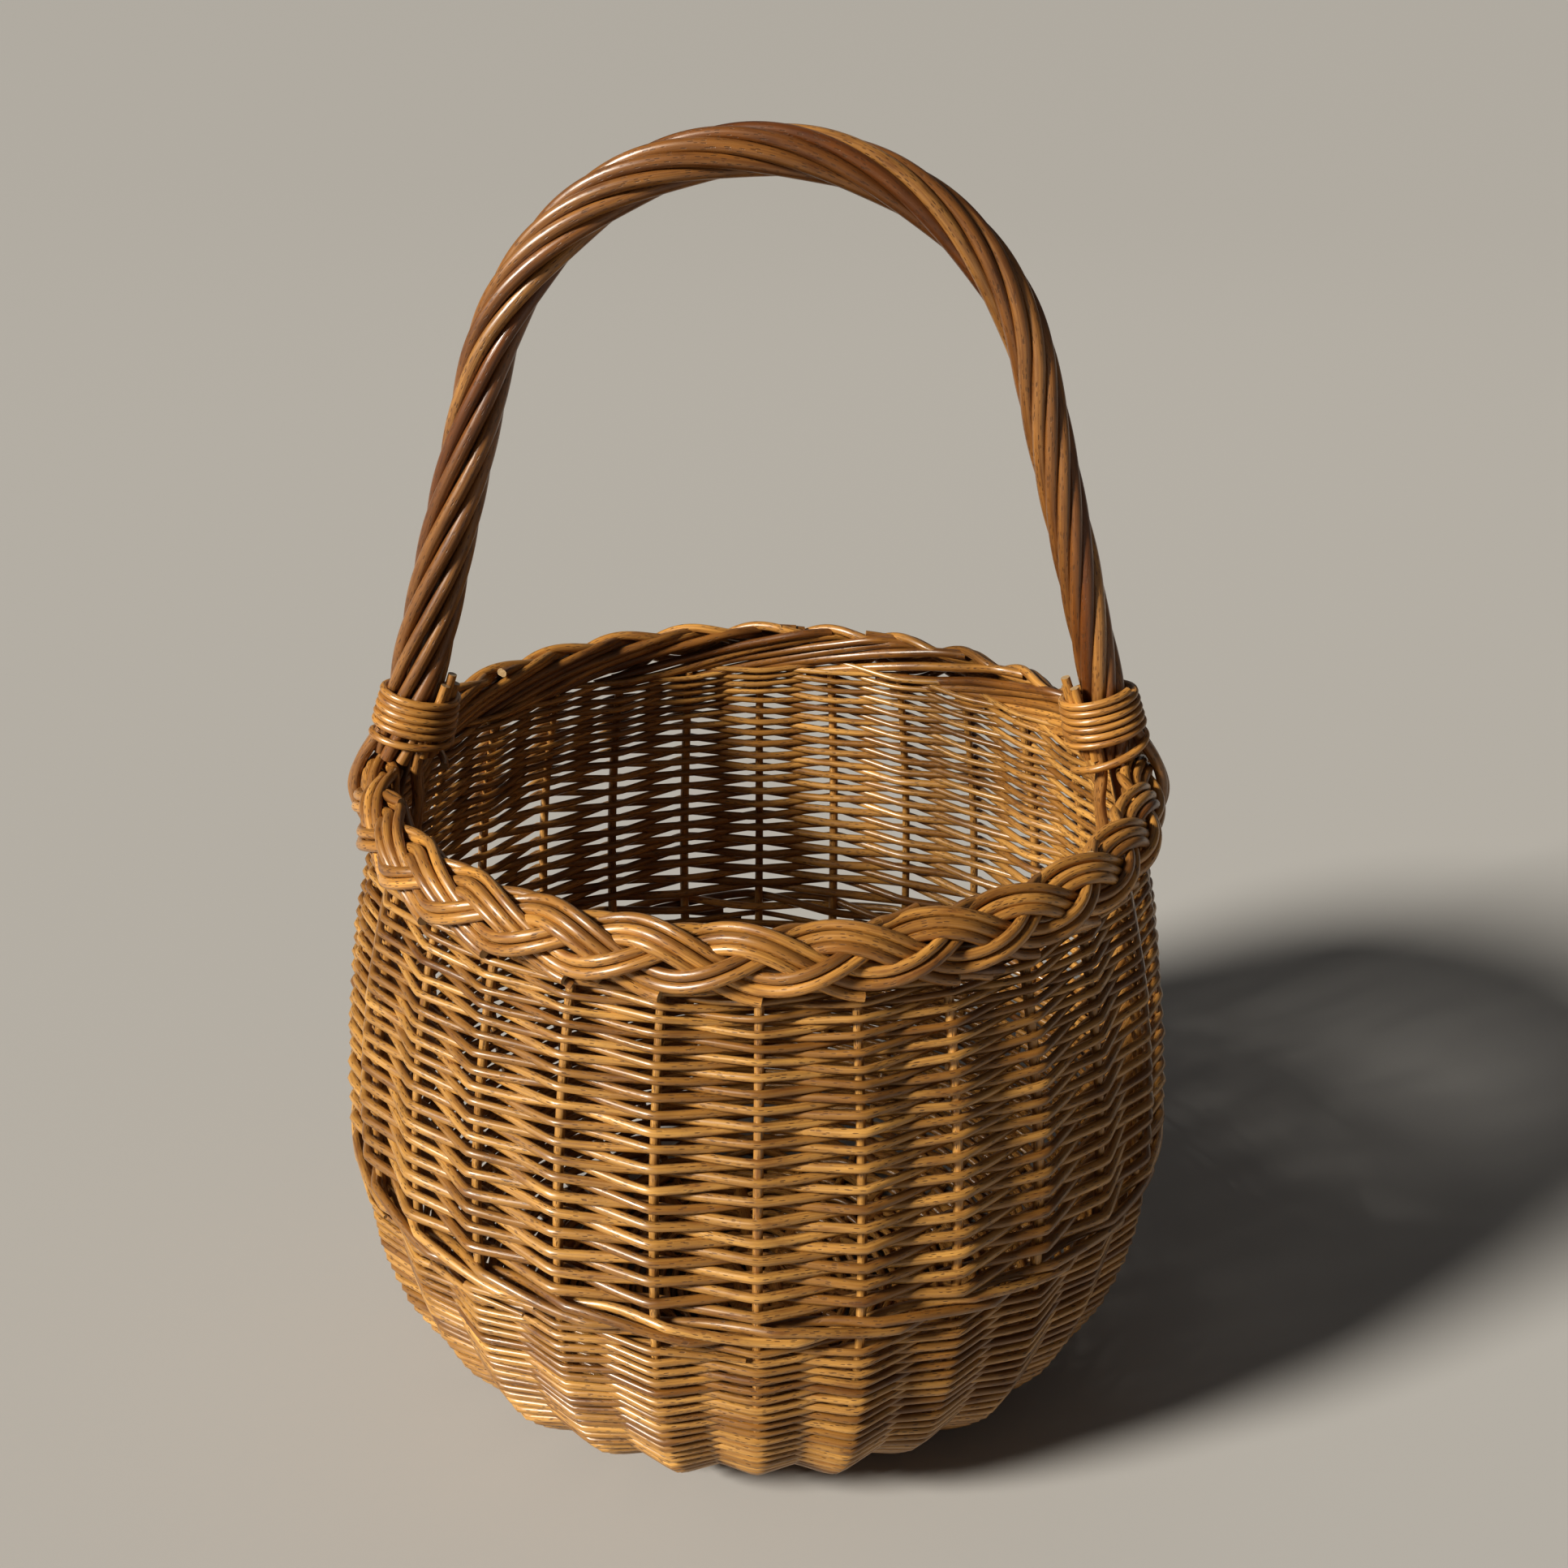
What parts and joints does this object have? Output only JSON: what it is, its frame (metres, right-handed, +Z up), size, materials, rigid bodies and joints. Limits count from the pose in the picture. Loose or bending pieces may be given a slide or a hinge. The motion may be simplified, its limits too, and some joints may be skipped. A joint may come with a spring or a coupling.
{
  "type": "round willow basket with bow handle",
  "caption": "Round bellied willow basket, open at the top, with a woven side, a plaited border and a fixed roped bow handle lashed at both feet.",
  "frame": {"origin": "on the floor, under the middle of the basket", "axes": "+Z up out of the basket's mouth, +X along the handle's span, so the handle stands in the XZ plane"},
  "size_m": [0.33, 0.33, 0.4926],
  "materials": {
    "weaver_willow": "varnished",
    "stake_willow": "varnished",
    "stick_willow": "varnished",
    "border_willow": "varnished",
    "handle_willow": "varnished",
    "lashing_willow": "varnished"
  },
  "bodies": {
    "root": {"base_weave": "weaver_willow", "border_inner_strand": "border_willow", "border_lower_strand": "border_willow", "border_upper_strand": "border_willow", "handle_core": "handle_willow", "lashing_left": "lashing_willow", "lashing_right": "lashing_willow", "lower_weave_inner": "weaver_willow", "lower_weave_outer": "weaver_willow", "pierced_stick_1": "stick_willow", "pierced_stick_2": "stick_willow", "pierced_stick_3": "stick_willow", "roping_rod_1": "handle_willow", "roping_rod_2": "handle_willow", "roping_rod_3": "handle_willow", "roping_rod_4": "handle_willow", "roping_rod_5": "handle_willow", "roping_rod_6": "handle_willow", "roping_rod_7": "handle_willow", "roping_rod_8": "handle_willow", "stake_01": "stake_willow", "stake_02": "stake_willow", "stake_03": "stake_willow", "stake_04": "stake_willow", "stake_05": "stake_willow", "stake_06": "stake_willow", "stake_07": "stake_willow", "stake_08": "stake_willow", "stake_09": "stake_willow", "stake_10": "stake_willow", "stake_11": "stake_willow", "stake_12": "stake_willow", "stake_13": "stake_willow", "stake_14": "stake_willow", "stake_15": "stake_willow", "stake_16": "stake_willow", "stake_17": "stake_willow", "stake_18": "stake_willow", "stake_19": "stake_willow", "stake_20": "stake_willow", "stake_21": "stake_willow", "stake_22": "stake_willow", "stake_23": "stake_willow", "stake_24": "stake_willow", "stake_25": "stake_willow", "stake_26": "stake_willow", "stake_27": "stake_willow", "stake_28": "stake_willow", "tail_left": "handle_willow", "tail_right": "handle_willow", "threaded_stick_1": "stick_willow", "threaded_stick_2": "stick_willow", "threaded_stick_3": "stick_willow", "threaded_stick_4": "stick_willow", "upper_weave_inner": "weaver_willow", "upper_weave_outer": "weaver_willow", "upsett_inner": "weaver_willow", "upsett_outer": "weaver_willow", "waist_wale_inner": "weaver_willow", "waist_wale_outer": "weaver_willow"}
  },
  "joints": []
}
